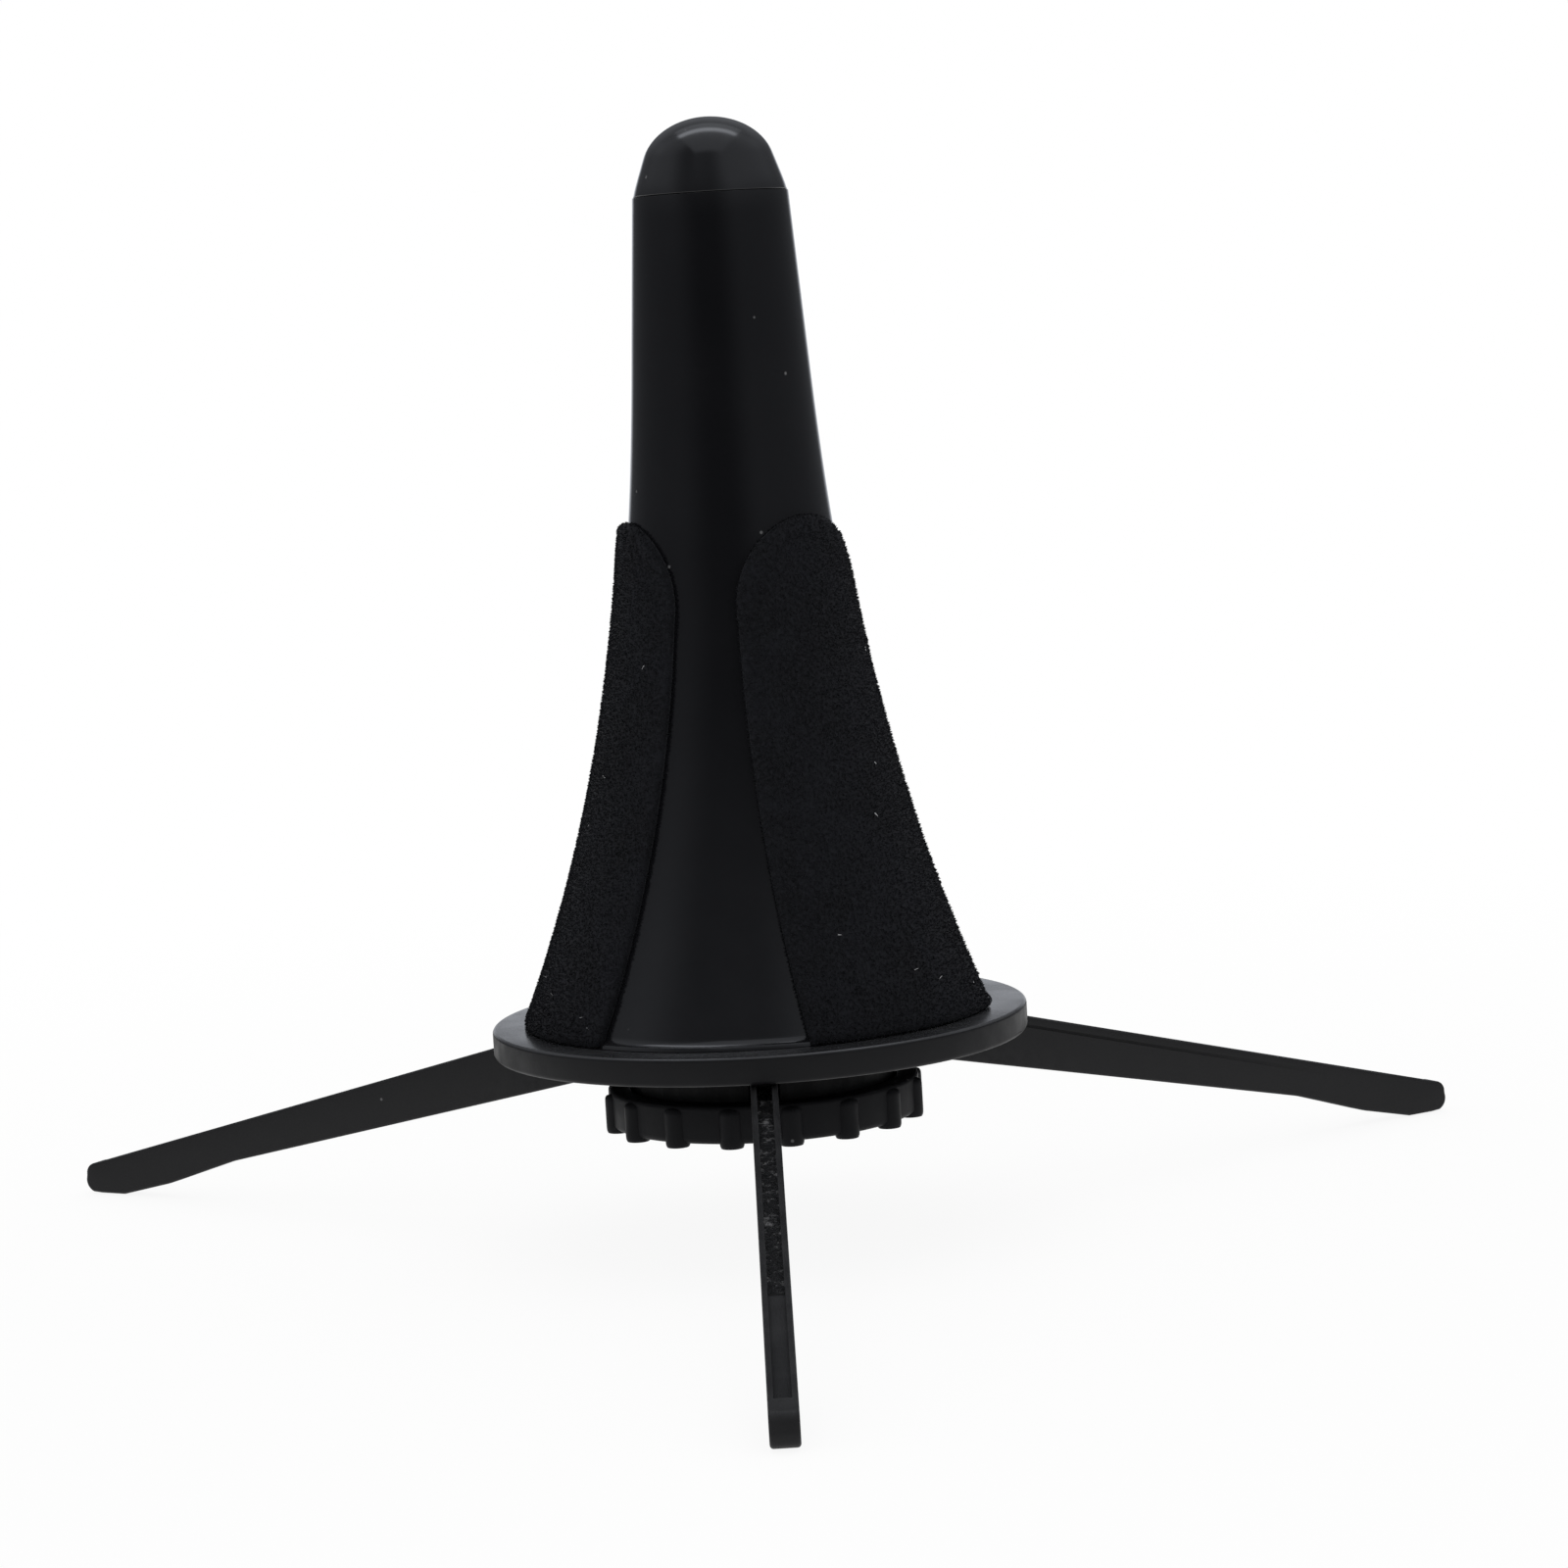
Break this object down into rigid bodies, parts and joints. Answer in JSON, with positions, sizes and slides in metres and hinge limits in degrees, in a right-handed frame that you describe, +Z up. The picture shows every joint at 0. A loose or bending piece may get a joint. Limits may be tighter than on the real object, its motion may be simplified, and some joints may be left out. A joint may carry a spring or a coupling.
{
  "type": "clarinet stand",
  "caption": "Folding clarinet stand: hollow flared peg with a domed top and velvet pads on a round flange, clamped by a ribbed knob over three bar legs.",
  "frame": {"origin": "on the floor, at the middle of the bounding box; the peg's axis stands 27.6 mm from it along +Y", "axes": "+Z up along the peg, the front leg points along -Y, and the other two legs lie at 120 degrees to each side"},
  "size_m": [0.1966, 0.1705, 0.1455],
  "materials": {
    "gloss_plastic": "polished black moulding",
    "matte_plastic": "fine satin black moulding",
    "knob_plastic": "satin black moulding with ribs",
    "velvet": "short black velvet pile",
    "steel": "zinc plated",
    "brass": "machined"
  },
  "bodies": {
    "base": {"leg_carrier": "matte_plastic", "leg_pin_front": "steel", "leg_pin_right": "steel", "leg_pin_left": "steel"},
    "knob": {"clamp_knob": "knob_plastic", "clamp_screw": "steel", "thrust_washer": "steel", "retaining_clip": "steel"},
    "peg": {"base_flange": "matte_plastic", "thread_insert": "brass", "flange_screw_1": "steel", "flange_screw_2": "steel", "flange_screw_3": "steel", "peg_shell": "gloss_plastic", "dome_cap": "gloss_plastic", "bell_pad_right": "velvet", "bell_pad_rear": "velvet", "bell_pad_left": "velvet"},
    "front_leg": {"leg_front": "matte_plastic"},
    "right_leg": {"leg_right": "matte_plastic"},
    "left_leg": {"leg_left": "matte_plastic"}
  },
  "joints": [
    {"name": "knob_turn", "type": "hinge", "parent": "base", "child": "knob", "pos_m": [0, 0.02764, 0.0155], "axis": [0, 0, 1], "continuous": true},
    {"name": "peg_lift", "type": "slide", "parent": "base", "child": "peg", "axis": [0, 0, 1], "range_m": [0, 0.13]},
    {"name": "front_leg_fold", "type": "hinge", "parent": "base", "child": "front_leg", "pos_m": [0, 0.01464, 0.02395], "axis": [-1, 0, 0], "range_deg": [0, 107]},
    {"name": "right_leg_fold", "type": "hinge", "parent": "base", "child": "right_leg", "pos_m": [0.01126, 0.03414, 0.02395], "axis": [0.5, -0.866, 0], "range_deg": [0, 107]},
    {"name": "left_leg_fold", "type": "hinge", "parent": "base", "child": "left_leg", "pos_m": [-0.01126, 0.03414, 0.02395], "axis": [0.5, 0.866, 0], "range_deg": [0, 107]}
  ],
  "couplings": [
    {"joint": "front_leg_fold", "follows": "peg_lift", "rad_per_m": 14.36},
    {"joint": "right_leg_fold", "follows": "peg_lift", "rad_per_m": 14.36},
    {"joint": "left_leg_fold", "follows": "peg_lift", "rad_per_m": 14.36}
  ]
}
